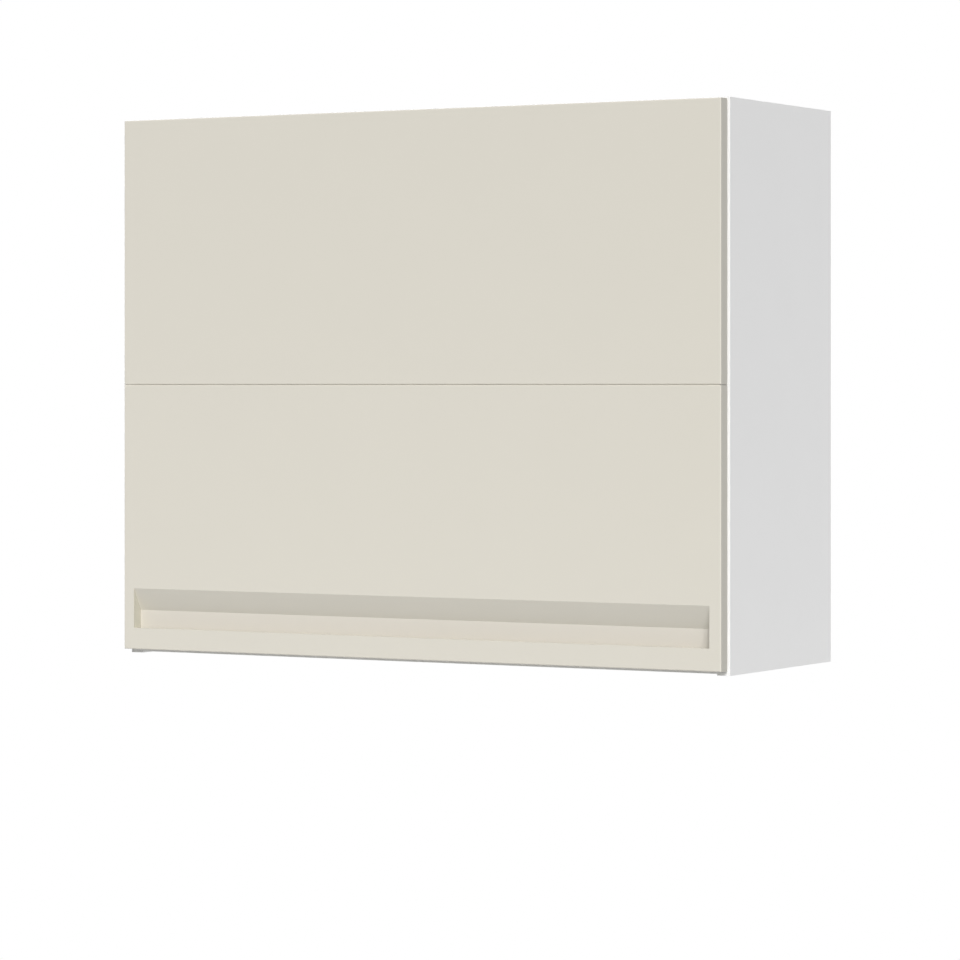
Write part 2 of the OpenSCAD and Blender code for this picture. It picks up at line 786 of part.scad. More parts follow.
// Cross-shaped plate between the arm's channel and the top panel
module hinge_plate(side) {
  wing = screw_head_d + 2 * wing_edge;
  color(steel) at_hinge(side) difference() {
    translate([0, plate_y, neck_top]) union() {
      translate([-channel_w / 2, 0, 0]) cube([channel_w, plate_len, plate_h]);
      translate([0, plate_len / 2, 0]) linear_extrude(plate_h) round_rect(plate_span, wing, 4);
    }
    for (x = [-1, 1]) translate([x * plate_screw_x, plate_y + plate_len / 2, neck_top])
      screw_hole(plate_h);
  }
}

// ---- centre hinges ----

// One leaf, its plate above the axis (way = 1) or below it (way = -1)
module fold_leaf(side, way) {
  x0 = -leaf_len / 2;
  own = way > 0 ? 0 : 1;
  color(steel) translate([side * hinge_x, 0, fold_at[1]]) difference() {
    union() {
      translate([x0, front_back_y, way > 0 ? 0 : -leaf_h]) cube([leaf_len, leaf_t, leaf_h]);
      for (i = [own : 2 : knuckles - 1])
        x_bar(knuckle_d, x0 + i * knuckle_l, knuckle_l, [fold_at[0], 0]);
    }
    for (i = [1 - own : 2 : knuckles - 1]) {
      gap = air / 2;
      half = knuckle_d / 2 + air;
      span([x0 + i * knuckle_l - gap, front_back_y - cut, -half],
           [x0 + (i + 1) * knuckle_l + gap, fold_at[0] + half, half]);
    }
    x_bar(leaf_pin_d + 2 * fit, x0 - cut, leaf_len + 2 * cut, [fold_at[0], 0]);
    for (spot = leaf_screws) translate([spot[0], front_back_y + leaf_t, way * spot[1]])
      rotate([90, 0, 0]) screw_hole(leaf_t);
  }
}

module fold_pins() {
  color(dark_steel) for (side = [-1, 1])
    x_bar(leaf_pin_d, side * hinge_x - leaf_len / 2, leaf_len, fold_at);
}

// ---- lift units ----

// Draws its children in the lift unit's own frame
module at_unit(side) {
  on_side(side) translate([unit_x, pivot_at[0], pivot_at[1]]) children();
}

module lug_outline() {
  round_span([unit_front + cover_t, unit_low + cover_t], [unit_back - cover_t, unit_high - cover_t], 4);
  for (spot = lug_spots) translate(spot) {
    circle(lug_r);
    if (spot[0] > unit_back) translate([-2 * lug_r, -lug_r]) square([2 * lug_r, 2 * lug_r]);
    else translate([-lug_r, -2 * lug_r]) square([2 * lug_r, 2 * lug_r]);
  }
}

// Steel chassis: wall plate with lugs, two flanges, a rear wall for the rods and the main axle
module lift_base(side) {
  flange_y = cam_r_closed;
  axle_end = hub_end - tube_t - air;
  color(steel) at_unit(side) difference() {
    union() {
      along_x(plate_x, steel_t) lug_outline();
      for (z = [flange_in, -flange_out])
        span([flange_x, flange_y, z], [plate_x + cut, wall_y + steel_t, z + steel_t]);
      span([-slide_half, wall_y, -flange_out], [plate_x + cut, wall_y + steel_t, flange_out]);
      span([cam_t / 2 + air, tab_y, spindle_z - 4], [plate_x + cut, tab_y + steel_t, spindle_z + 4]);
      x_bar(axle_d, axle_end, plate_x + cut - axle_end, [0, 0]);
      x_bar(1.5 * axle_d, axle_end - head_t, head_t, [0, 0]);
    }
    for (spot = lug_spots) translate([plate_x, spot[0], spot[1]]) rotate([0, 90, 0]) screw_hole(steel_t);
    for (z = [-1, 1]) y_bar(rod_d + 2 * fit, wall_y - cut, steel_t + 2 * cut, 0, z * spring_off);
    y_bar(spindle_d + 2 * fit, tab_y - cut, steel_t + 2 * cut, spindle_x, spindle_z);
  }
}

// Moulded cover with an opening for the cam's hub, a window over the springs and a hole for the driver
module lift_cover(side) {
  out = [[unit_front, unit_low], [unit_back, unit_high]];
  wall = [cover_t, cover_t];
  color(plastic) at_unit(side) difference() {
    along_x(-unit_half, plate_x + unit_half - fit) round_span(out[0], out[1], 5);
    along_x(cover_t - unit_half, unit_t) round_span(out[0] + wall, out[1] - wall, 3);
    x_bar(cam_hub_d + 2 * air, -unit_half - cut, cover_t + 2 * cut, [0, 0]);
    along_x(-unit_half - cut, cover_t + 2 * cut)
      round_span([window_low_y, -block_half], [window_high_y, block_half], 6);
    y_bar(2 * spindle_d + air, unit_front - cut, cover_t + 2 * cut, spindle_x, spindle_z);
    for (i = [0 : 3]) along_x(-unit_half - cut, cover_t / 2 + cut)
      round_span([vent_pitch * i - vent_w / 2, unit_low + vent_low],
                 [vent_pitch * i + vent_w / 2, unit_low + vent_low + vent_h], vent_w / 2 - 0.1);
  }
}

module lift_guide_rods() {
  color(steel) for (side = [-1, 1], z = [-1, 1]) at_unit(side)
    y_bar(rod_d, rod_front, wall_y + steel_t - rod_front, 0, z * spring_off);
}

// Spindle with a hex head, and the seat that it draws along the rods to set the springs
module lift_adjusters() {
  color(dark_steel) for (side = [-1, 1]) at_unit(side) {
    y_bar(spindle_d, tab_y - fit, seat_y + seat_t + spindle_over - tab_y, spindle_x, spindle_z);
    translate([spindle_x, tab_y - fit, spindle_z]) rotate([90, 0, 0])
      cylinder(h = spindle_head_t, d = 2 * spindle_d, $fn = 6);
    difference() {
      along_x(-slide_half, slide_half + plate_x - fit)
        round_span([seat_y, spindle_z - seat_ear], [seat_y + seat_t, block_half], 1);
      span([flange_x - air, seat_y - cut, -flange_out - air],
           [plate_x, seat_y + seat_t + cut, -flange_in + air]);
      for (z = [-1, 1]) y_bar(rod_d + 4 * fit, seat_y - cut, seat_t + 2 * cut, 0, z * spring_off);
    }
  }
}

function roller_at(a) = cam_r_closed - cam_fall * a;

// Point of the cam's edge where the roller touches when its centre stands at angle a in the cam's frame:
// the centre's path is a spiral, and the edge lies one roller radius inside it
function cam_point(a) =
  let (r = roller_at(a), k = cam_fall * 180 / PI, h = (roller_r + cam_air) / norm([r, k]))
  [r * cos(a) - h * (r * cos(a) - k * sin(a)), r * sin(a) - h * (r * sin(a) + k * cos(a))];

// Spiral cam: its radius falls as the front opens, so the springs push the arm up all the way
module cam(side) {
  step = (open_angle + 2 * cam_lead) / cam_steps;
  edge = [for (i = [0 : cam_steps]) cam_point(i * step - cam_lead)];
  color(dark_steel) at_unit(side) difference() {
    union() {
      along_x(-cam_t / 2, cam_t) {
        polygon(concat([[0, -cam_hub_d / 3]], edge, [[-cam_hub_d / 3, 0]]));
        circle(d = cam_hub_d);
      }
      x_bar(cam_hub_d, hub_end, plate_x - air - hub_end, [0, 0]);
    }
    x_bar(axle_d + 2 * fit, -unit_t, 2 * unit_t, [0, 0]);
  }
}

// Slide: cross block on the two rods, with a fork that holds the roller's axle
module spring_slide(side) {
  color(grey_plastic) at_unit(side) {
    difference() {
      along_x(-slide_half, 2 * slide_half)
        round_span([block_front, -block_half], [block_back, block_half], 2);
      for (z = [-1, 1]) y_bar(rod_d + 4 * fit, block_front - cut, block_t + 2 * cut, 0, z * spring_off);
    }
    for (x = [-slide_half, cheek_x]) along_x(x, cheek_t) translate([cam_r_closed, 0]) {
      circle(roller_r + 2);
      translate([0, -roller_r - 2]) square([block_front - cam_r_closed + cut, 2 * roller_r + 4]);
    }
    x_bar(roller_axle_d, -slide_half, 2 * slide_half, [cam_r_closed, 0]);
  }
}

module roller(side) {
  half = cheek_x - air;
  bevel = 0.6;
  color(steel) at_unit(side) translate([0, cam_r_closed, 0]) rotate([0, 90, 0]) rotate_extrude()
    polygon([
      [roller_axle_d / 2 + fit, -half], [roller_r - bevel, -half], [roller_r, bevel - half],
      [roller_r, half - bevel], [roller_r - bevel, half], [roller_axle_d / 2 + fit, half]
    ]);
}

// Path of a spring's wire as [length round the axis, length along it]: each end stands square on its seat
function bend(way) = [for (b = [0 : 30 : 90]) way > 0
  ? [wire_d * (1 - cos(b)), wire_d * (1 + sin(b))]
  : [wire_d * sin(b), wire_d * (1 - cos(b))]];
function wire_path(len) =
  let (around = PI * spring_d, lead = 2 * wire_d, rise = (len - 2 * lead) / spring_turns)
  concat(
    [[0, 0]],
    bend(1),
    [for (i = [1 : 8 * spring_turns - 1]) [wire_d + around * i / 8, lead + rise * i / 8]],
    [for (p = bend(-1)) p + [wire_d + around * spring_turns, len - lead]],
    [[2 * wire_d + around * spring_turns, len]]
  );
function on_coil(p) = let (a = p[0] * 360 / (PI * spring_d))
  [spring_d / 2 * cos(a), p[1], spring_d / 2 * sin(a)];
function unit_vector(v) = v / norm(v);

// Sides of six around each point of the path, square to the path there
function wire_ring(path, i) =
  let (
    here = path[i],
    ahead = path[min(i + 1, len(path) - 1)],
    behind = path[max(i - 1, 0)],
    along = unit_vector(ahead - behind),
    out = unit_vector([here[0], 0, here[2]]),
    side = unit_vector(cross(along, out)),
    up = cross(side, along)
  )
  [for (k = [0 : 5]) here + wire_d / 2 * (cos(60 * k) * up + sin(60 * k) * side)];

module spring(len) {
  path = [for (p = wire_path(len)) on_coil(p)];
  last = len(path) - 1;
  points = [for (i = [0 : last]) each wire_ring(path, i)];
  sides = [for (i = [0 : last - 1], k = [0 : 5])
    let (a = 6 * i + k, b = 6 * i + (k + 1) % 6) each [[a, b, b + 6], [a, b + 6, a + 6]]];
  ends = [for (k = [1 : 4]) each [[0, k + 1, k], [6 * last, 6 * last + k, 6 * last + k + 1]]];
  gaps = [for (i = [0 : last], j = [i + 6 : 1 : last]) norm(path[i] - path[j])];
  echo(str("least gap of a spring to itself, mm: ", min(gaps) - wire_d));
  polyhedron(points, concat(sides, ends));
}

module springs(side) {
  color(steel) for (z = [-1, 1]) at_unit(side)
    translate([0, block_back + seat_air, z * spring_off]) spring(spring_len - 2 * seat_air);
}

// ---- arms ----

module at_arm(side) {
  on_side(side) translate([arm_x, pivot_at[0], pivot_at[1]]) rotate([arm_tilt, 0, 0]) children();
}

// Bar that runs down the arm from one depth to another
module down_bar(from, to, w, t, r) {
  translate([0, 0, -to]) linear_extrude(to - from) round_rect(t, w, r);
}

module arm_tube(side) {
  color(steel) at_arm(side) difference() {
    union() {
      x_bar(arm_hub_d, -tube_t / 2, tube_t, [0, 0]);
      down_bar(0, tube_len, tube_w, tube_t, 2);
    }
    down_bar(tube_len - rod_overlap - tube_end_gap, tube_len + cut, rod_w + 2 * fit, rod_t + 2 * fit, 1.5);
    x_bar(axle_d + 2 * fit, -tube_t, 2 * tube_t, [0, 0]);
    for (step = [0 : 2]) {
      at = [0, dimple_low + dimple_pitch * step - tube_len];
      x_bar(dimple_d, tube_t / 2 - tube_wall - 1, tube_t, at);
      x_bar(dimple_d, -tube_t, tube_t, at);
    }
  }
}

module arm_rod(side) {
  color(steel) at_arm(side) difference() {
    union() {
      down_bar(tube_len - rod_overlap, arm_len, rod_w, rod_t, 1.5);
      x_bar(eye_d, -rod_t / 2, rod_t, [0, -arm_len]);
    }
    x_bar(bracket_pin_d + 4 * fit, -rod_t, 2 * rod_t, [0, -arm_len]);
  }
}

// ---- fronts ----

module front_board(low) {
  mid_y = (front_back_y + front_face_y) / 2;
  intersection() {
    along_x(-front_w / 2, front_w) translate([mid_y, low + flap_h / 2]) round_rect(front_t, flap_h, edge_r);
    translate([0, mid_y, low]) linear_extrude(flap_h) round_rect(front_w, front_t, edge_r);
  }
}

module upper_front() {
  color(lacquer) difference() {
    front_board(upper_low);
    for (side = [-1, 1]) {
      y_bar(cup_d + 2 * fit, front_back_y - cup_depth - fit, cup_depth + cut, side * hinge_x, cup_z);
      for (x = [-1, 1]) into_front(side * hinge_x + x * cup_screws / 2, cup_screw_z) pilot();
      for (spot = leaf_screws) into_front(side * hinge_x + spot[0], fold_at[1] + spot[1]) pilot();
    }
  }
}

module lower_front() {
  slope = [front_face_y - recess_floor_y, recess_high - recess_knee];
  over = [front_face_y, recess_high] + slope * cut / norm(slope);
  color(lacquer) difference() {
    front_board(bottom_reveal);
    along_x(-recess_x, 2 * recess_x) polygon([
      over, [recess_floor_y, recess_knee], [recess_floor_y, groove_low],
      [front_face_y + lip_t, groove_low], [front_face_y + lip_t, recess_low],
      [front_face_y - cut, recess_low], [front_face_y - cut, over[1]]
    ]);
    span([-recess_x - plate_lap, recess_floor_y, groove_low - plate_lap],
         [recess_x + plate_lap, front_back_y + cut, recess_knee + plate_lap]);
    for (side = [-1, 1]) {
      for (spot = leaf_screws) into_front(side * hinge_x + spot[0], fold_at[1] - spot[1]) pilot();
      for (z = [-1, 1]) into_front(side * base_x, eye_at[1] + z * base_screw_z) pilot();
    }
  }
}

// Plate glued into the rebate behind the recess
module grip_back_plate() {
  color(lacquer) span([-recess_x - plate_reach, recess_floor_y, groove_low - plate_reach],
                      [recess_x + plate_reach, front_back_y, recess_knee + plate_reach]);
}

// Bracket on the lower front that carries the arm's eye
module front_bracket(side) {
  eye_r = eye_d / 2 + 1;
  face_y = front_back_y + base_t;
  color(steel) on_side(side) difference() {
    union() {
      translate([base_x, front_back_y + base_t, eye_at[1]]) rotate([90, 0, 0])
        linear_extrude(base_t) round_rect(base_w, base_h, 4);
      along_x(ear_x, ear_t) {
        polygon([
          [front_back_y, eye_at[1] - ear_half], [face_y, eye_at[1] - ear_half],
          [eye_at[0], eye_at[1] - eye_r], [eye_at[0], eye_at[1] + eye_r],
          [face_y, eye_at[1] + ear_half], [front_back_y, eye_at[1] + ear_half]
        ]);
        translate(eye_at) circle(eye_r);
      }
    }
    x_bar(bracket_pin_d + 2 * fit, ear_x - cut, ear_t + 2 * cut, eye_at);
    for (z = [-1, 1]) translate([base_x, face_y, eye_at[1] + z * base_screw_z])
      rotate([90, 0, 0]) screw_hole(base_t);
  }
}

// Pin through the ear and the arm's eye, with a head at each end
module bracket_pins() {
  far_x = arm_x + rod_t / 2 + air;
  color(dark_steel) for (side = [-1, 1]) on_side(side) {
    x_bar(bracket_pin_d, ear_x - head_t, far_x + head_t - ear_x + head_t, eye_at);
    x_bar(bracket_pin_d + 4, ear_x - head_t - fit, head_t, eye_at);
    x_bar(bracket_pin_d + 4, far_x, head_t, eye_at);
  }
}

module leaf_screw_set(way) {
  for (side = [-1, 1], spot = leaf_screws)
    into_front(side * hinge_x + spot[0], fold_at[1] + way * spot[1], leaf_t) fixing_screw(leaf_t);
}

module upper_front_screws() {
  color(steel) {
    leaf_screw_set(1);
    for (side = [-1, 1], x = [-1, 1])
      into_front(side * hinge_x + x * cup_screws / 2, cup_screw_z, flange_t) fixing_screw(flange_t);
  }
}

module lower_front_screws() {
  color(steel) {
    leaf_screw_set(-1);
    for (side = [-1, 1], z = [-1, 1])
      into_front(side * base_x, eye_at[1] + z * base_screw_z, base_t) fixing_screw(base_t);
  }
}

side_panel(-1);  // side_panel_left
side_panel(1);  // side_panel_right
top_panel();
bottom_panel();
back_panel();
shelf();
shelf_edge_band();
carcass_edge_bands();
shelf_pins();
connector_dowels();
cam_locks();
cam_bolts();
cam_caps();
door_buffers();
carcass_screws();
hanger_body(-1);  // hanger_body_left
hanger_body(1);  // hanger_body_right
hanger_hook(-1);  // hanger_hook_left
hanger_hook(1);  // hanger_hook_right
hanger_cover(-1);  // hanger_cover_left
hanger_cover(1);  // hanger_cover_right
hanger_adjusters();
lift_base(-1);  // lift_base_left
lift_base(1);  // lift_base_right
lift_cover(-1);  // lift_cover_left
lift_cover(1);  // lift_cover_right
lift_guide_rods();
lift_adjusters();
cam(-1);  // cam_left
cam(1);  // cam_right
arm_tube(-1);  // arm_tube_left
arm_tube(1);  // arm_tube_right
arm_rod(-1);  // arm_rod_left
arm_rod(1);  // arm_rod_right
spring_slide(-1);  // spring_slide_left
spring_slide(1);  // spring_slide_right
roller(-1);  // roller_left
roller(1);  // roller_right
springs(-1);  // springs_left
springs(1);  // springs_right
hinge_arm(-1);  // hinge_arm_left
hinge_arm(1);  // hinge_arm_right
hinge_plate(-1);  // hinge_plate_left
hinge_plate(1);  // hinge_plate_right
upper_front();
hinge_cup(-1);  // hinge_cup_left
hinge_cup(1);  // hinge_cup_right
hinge_pins();
fold_leaf(-1, 1);  // fold_upper_leaf_left
fold_leaf(1, 1);  // fold_upper_leaf_right
fold_pins();
upper_front_screws();
lower_front();
grip_back_plate();
fold_leaf(-1, -1);  // fold_lower_leaf_left
fold_leaf(1, -1);  // fold_lower_leaf_right
front_bracket(-1);  // front_bracket_left
front_bracket(1);  // front_bracket_right
bracket_pins();
lower_front_screws();
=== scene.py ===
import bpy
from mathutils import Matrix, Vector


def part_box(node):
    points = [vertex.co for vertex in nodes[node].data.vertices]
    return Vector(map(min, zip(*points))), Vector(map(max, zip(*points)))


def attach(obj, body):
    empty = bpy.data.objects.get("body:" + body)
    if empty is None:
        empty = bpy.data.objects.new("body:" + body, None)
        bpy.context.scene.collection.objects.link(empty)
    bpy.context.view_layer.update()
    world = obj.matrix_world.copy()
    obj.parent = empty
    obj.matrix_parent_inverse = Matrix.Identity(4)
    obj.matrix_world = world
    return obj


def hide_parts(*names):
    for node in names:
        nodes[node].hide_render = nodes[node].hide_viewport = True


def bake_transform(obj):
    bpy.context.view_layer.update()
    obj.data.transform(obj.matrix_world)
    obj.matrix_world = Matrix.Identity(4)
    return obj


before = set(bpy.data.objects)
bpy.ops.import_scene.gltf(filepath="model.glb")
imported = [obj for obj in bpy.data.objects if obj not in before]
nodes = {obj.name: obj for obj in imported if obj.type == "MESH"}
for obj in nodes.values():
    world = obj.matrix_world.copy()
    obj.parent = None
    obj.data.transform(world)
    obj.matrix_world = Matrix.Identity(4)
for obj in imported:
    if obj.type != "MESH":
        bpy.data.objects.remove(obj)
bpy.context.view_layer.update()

import math

import bmesh
import bpy
from mathutils import Vector

scene = bpy.context.scene
scene.view_settings.view_transform = "Standard"
mm = 0.001
print("cabinet loaded with", len(nodes), "solids")


# The photo's view: the camera is level and stands to the right of the cabinet
viewpoint = {
    "place": (2.62726, -4.75034, 0.36123),
    "turn": 0.5177,
    "lens": 149.217,
    "shiftY": -0.09854,
    "farEnd": 60,
}


def makeCamera():
    data = bpy.data.cameras.new("photoCamera")
    data.lens = viewpoint["lens"]
    data.shift_y = viewpoint["shiftY"]
    data.clip_end = viewpoint["farEnd"]
    camera = bpy.data.objects.new("photoCamera", data)
    camera.location = viewpoint["place"]
    camera.rotation_euler = (math.pi / 2, 0, viewpoint["turn"])
    scene.collection.objects.link(camera)
    scene.camera = camera


# Soft studio light: the key stands in front on the right, weak fills on the left and behind, in a pale room
studio = {
    "lamps": {
        "keyLamp": {"side": 32, "up": 32, "strength": 3.18, "softness": 35},
        "leftFill": {"side": -125, "up": 8, "strength": 1.1, "softness": 40},
        "rearFill": {"side": -168, "up": 12, "strength": 0.9, "softness": 40},
    },
    "lampReach": 4,
    "roomColour": (1.0, 1.0, 1.0),
    "roomLight": 0.2,
    "floorSpot": (0, -0.2, -1.4),
    "floorRadius": 3.2,
    "floorFade": 1.6,
    "floorRim": 0.05,
    "floorSides": 96,
    "floorColour": (0.93, 0.93, 0.925),
    "floorRoughness": 0.9,
    "floorGloss": 0.1,
}


def makeLamps():
    for name, s in studio["lamps"].items():
        data = bpy.data.lights.new(name, "SUN")
        data.energy = s["strength"]
        data.angle = math.radians(s["softness"])
        lamp = bpy.data.objects.new(name, data)
        side, up = math.radians(s["side"]), math.radians(s["up"])
        toLamp = Vector((math.sin(side) * math.cos(up), -math.cos(side) * math.cos(up), math.sin(up)))
        lamp.location = toLamp * studio["lampReach"]
        lamp.rotation_euler = toLamp.to_track_quat("Z", "Y").to_euler()
        scene.collection.objects.link(lamp)


def seenWhite(tree):
    # 1 for what the camera sees directly, in a gloss or through something clear
    path = tree.nodes.new("ShaderNodeLightPath")
    total = path.outputs["Is Camera Ray"]
    for name in ("Is Glossy Ray", "Is Transmission Ray"):
        add = tree.nodes.new("ShaderNodeMath")
        add.operation = "MAXIMUM"
        tree.links.new(total, add.inputs[0])
        tree.links.new(path.outputs[name], add.inputs[1])
        total = add.outputs[0]
    return total


def makeRoom():
    world = bpy.data.worlds.new("paleRoom")
    scene.world = world
    world.use_nodes = True
    tree = world.node_tree
    light = tree.nodes["Background"]
    light.inputs["Color"].default_value = (*studio["roomColour"], 1)
    light.inputs["Strength"].default_value = studio["roomLight"]
    white = tree.nodes.new("ShaderNodeBackground")
    white.inputs["Color"].default_value = (1, 1, 1, 1)
    white.inputs["Strength"].default_value = 1
    mix = tree.nodes.new("ShaderNodeMixShader")
    tree.links.new(seenWhite(tree), mix.inputs[0])
    tree.links.new(light.outputs[0], mix.inputs[1])
    tree.links.new(white.outputs[0], mix.inputs[2])
    tree.links.new(mix.outputs[0], tree.nodes["World Output"].inputs["Surface"])


def makeFloor():
    # A pale round floor that fades to white at its rim, and is clear from underneath
    radius = studio["floorRadius"]
    mesh = bpy.data.meshes.new("paleFloor")
    form = bmesh.new()
    bmesh.ops.create_circle(form, cap_ends=True, radius=radius, segments=studio["floorSides"])
    form.to_mesh(mesh)
    form.free()
    floor = bpy.data.objects.new("paleFloor", mesh)
    floor.location = studio["floorSpot"]
    scene.collection.objects.link(floor)
    material = bpy.data.materials.new("paleFloor")
    material.use_nodes = True
    tree = material.node_tree
    shader = tree.nodes["Principled BSDF"]
    shader.inputs["Base Color"].default_value = (*studio["floorColour"], 1)
    shader.inputs["Roughness"].default_value = studio["floorRoughness"]
    shader.inputs["Specular IOR Level"].default_value = studio["floorGloss"]
    where = tree.nodes.new("ShaderNodeTexCoord")
    reach = tree.nodes.new("ShaderNodeVectorMath")
    reach.operation = "LENGTH"
    tree.links.new(where.outputs["Object"], reach.inputs[0])
    fade = tree.nodes.new("ShaderNodeMapRange")
    fade.interpolation_type = "SMOOTHSTEP"
    fade.inputs["From Min"].default_value = radius - studio["floorFade"]
    fade.inputs["From Max"].default_value = radius - studio["floorRim"]
    tree.links.new(reach.outputs["Value"], fade.inputs["Value"])
    white = tree.nodes.new("ShaderNodeEmission")
    white.inputs["Strength"].default_value = 1
    clear = tree.nodes.new("ShaderNodeBsdfTransparent")
    rim = tree.nodes.new("ShaderNodeMixShader")
    tree.links.new(seenWhite(tree), rim.inputs[0])
    tree.links.new(clear.outputs[0], rim.inputs[1])
    tree.links.new(white.outputs[0], rim.inputs[2])
    faded = tree.nodes.new("ShaderNodeMixShader")
    tree.links.new(fade.outputs["Result"], faded.inputs[0])
    tree.links.new(shader.outputs[0], faded.inputs[1])
    tree.links.new(rim.outputs[0], faded.inputs[2])
    sides = tree.nodes.new("ShaderNodeMixShader")
    facing = tree.nodes.new("ShaderNodeNewGeometry")
    tree.links.new(facing.outputs["Backfacing"], sides.inputs[0])
    tree.links.new(faded.outputs[0], sides.inputs[1])
    tree.links.new(clear.outputs[0], sides.inputs[2])
    tree.links.new(sides.outputs[0], tree.nodes["Material Output"].inputs["Surface"])
    mesh.materials.append(material)


makeCamera()
makeLamps()
makeRoom()
makeFloor()
print("camera, lamps and floor set")


# Helpers for the finishes: each adds a node and returns what the next one takes
def give(tree, socket, value):
    if isinstance(value, bpy.types.NodeSocket):
        tree.links.new(value, socket)
    elif socket.type == "RGBA":
        socket.default_value = (*value, 1)
    else:
        socket.default_value = value


def wire(tree, kind, inputs, **settings):
    node = tree.nodes.new("ShaderNode" + kind)
    for name, value in settings.items():
        setattr(node, name, value)
    for name, value in inputs.items():
        give(tree, node.inputs[name], value)
    return node


def newFinish(name, constants):
    material = bpy.data.materials.new(name)
    material.use_nodes = True
    tree = material.node_tree
    for socket, value in constants.items():
        give(tree, tree.nodes["Principled BSDF"].inputs[socket], value)
    return material, tree, tree.nodes["Principled BSDF"].inputs


def place(tree, stretch=(1, 1, 1)):
    where = wire(tree, "TexCoord", {}).outputs["Object"]
    return wire(tree, "Mapping", {"Vector": where, "Scale": stretch}).outputs[0]


def cloud(tree, perMetre, stretch=(1, 1, 1), detail=2.0, roughness=0.5):
    return wire(tree, "TexNoise", {
        "Vector": place(tree, stretch), "Scale": perMetre, "Detail": detail, "Roughness": roughness,
    }).outputs[0]


def grains(tree, perMetre, stretch=(1, 1, 1)):
    return wire(tree, "TexVoronoi", {"Vector": place(tree, stretch), "Scale": perMetre}).outputs["Color"]


def level(tree, value, low, high, start=0.3, end=0.7):
    return wire(tree, "MapRange", {
        "Value": value, "From Min": start, "From Max": end, "To Min": low, "To Max": high,
    }).outputs[0]


def tint(tree, share, first, second):
    return wire(tree, "Mix", {0: share, 6: first, 7: second}, data_type="RGBA").outputs[2]


def relief(tree, height, depth, under=None):
    inputs = {"Height": height, "Distance": depth, "Strength": 1.0}
    if under is not None:
        inputs["Normal"] = under
    return wire(tree, "Bump", inputs).outputs[0]


def within(tree, axis, low, high, vector="Object"):
    # 1 where the surface's place, or its facing, lies between two values along an axis of the row frame
    where = wire(tree, "TexCoord", {}).outputs[vector]
    part = wire(tree, "SeparateXYZ", {0: where}).outputs[axis]
    return wire(tree, "Math", {0: part, 1: (low + high) / 2, 2: (high - low) / 2}, operation="COMPARE").outputs[0]


def times(tree, first, second):
    return wire(tree, "Math", {0: first, 1: second}, operation="MULTIPLY").outputs[0]


creamLacquer = {
    "colour": (0.690, 0.661, 0.585),
    "mottle": 0.993,
    "roughness": (0.30, 0.35),
    "mottlePerMetre": 9,
    "peelPerMetre": 850,
    "peelDepth": 0.000012,
    "wavePerMetre": 60,
    "waveDepth": 0.00004,
    # painted shade: the fronts' sideways faces are coloured darker than the front face
    "paintedSideShade": (0.550, 0.529, 0.468),
    # painted shade: the recess's end walls, coloured darker
    "paintedRecessEndShade": (0.588, 0.568, 0.478),
    "plateColour": (0.676, 0.640, 0.571),
    # painted light: the recess's slanted face, turned down and forward, coloured lighter than the front
    "paintedSlantLight": (0.712, 0.682, 0.603),
    "paintedSlantFacing": (-0.70, -0.30),
    "recessEnd": 0.44,
    "sideShadeFrom": 0.9,
}


def sizeAcross(tree, vector):
    # How far a vector runs along X, to either side
    across = wire(tree, "SeparateXYZ", {0: wire(tree, "TexCoord", {}).outputs[vector]}).outputs[0]
    return wire(tree, "Math", {0: across}, operation="ABSOLUTE").outputs[0]


def lacquerFinish(name, colour):
    # Tones matched to the photo as painted light and shade: sideways faces darker (painted shade), the recess's
    # slant a little lighter (painted light)
    s = creamLacquer
    material, tree, inputs = newFinish(name, {"IOR": 1.45})
    mottle = level(tree, cloud(tree, s["mottlePerMetre"], detail=4), 0, 1)
    face = tint(tree, mottle, colour, [part * s["mottle"] for part in colour])
    # painted light on faces turned down and forward, the recess's slant
    face = tint(tree, within(tree, 2, *s["paintedSlantFacing"], "Normal"), face, s["paintedSlantLight"])
    # painted shade: one darker colour for the recess's end walls inside, another for the fronts' sides outside
    outside = wire(tree, "Math", {0: sizeAcross(tree, "Object"), 1: s["recessEnd"]},
                   operation="GREATER_THAN").outputs[0]
    paintedEndShade = tint(tree, outside, s["paintedRecessEndShade"], s["paintedSideShade"])
    # mask of faces turned sideways, where painted shade darkens the colour
    sideShadeMask = level(tree, sizeAcross(tree, "Normal"), 0, 1, s["sideShadeFrom"], 1.0)
    give(tree, inputs["Base Color"], tint(tree, sideShadeMask, face, paintedEndShade))
    fine = cloud(tree, s["peelPerMetre"])
    give(tree, inputs["Roughness"], level(tree, fine, *s["roughness"]))
    wave = relief(tree, cloud(tree, s["wavePerMetre"]), s["waveDepth"])
    give(tree, inputs["Normal"], relief(tree, fine, s["peelDepth"], wave))
    return material


whiteBoard = {
    "colour": (0.932, 0.932, 0.932),
    "mottle": (0.925, 0.925, 0.925),
    "roughness": (0.56, 0.66),
    "gloss": 0.3,
    "mottlePerMetre": 14,
    "pearlPerMetre": 1300,
    "pearlDepth": 0.00001,
    "darkChip": (0.30, 0.19, 0.10),
    "paleChip": (0.74, 0.58, 0.38),
    "chipsPerMetre": 520,
    "dustPerMetre": 1900,
    "chipStretch": (1, 0.5, 1),
    "chipSpread": (0.15, 0.85),
    "chipDepth": 0.0002,
    "coreRougher": 0.3,
    "skin": 0.0003,
}


def coreColour(tree):
    # Pressed wood chips as a saw shows them: coarse chips mixed with fine dust
    s = whiteBoard
    chips = level(tree, grains(tree, s["chipsPerMetre"], s["chipStretch"]), 0, 1, *s["chipSpread"])
    dust = level(tree, grains(tree, s["dustPerMetre"]), 0, 1, *s["chipSpread"])
    mixed = wire(tree, "Math", {0: chips, 1: dust}, operation="ADD").outputs[0]
    share = level(tree, mixed, 0, 1, 0.3, 1.7)
    return tint(tree, share, s["darkChip"], s["paleChip"]), share


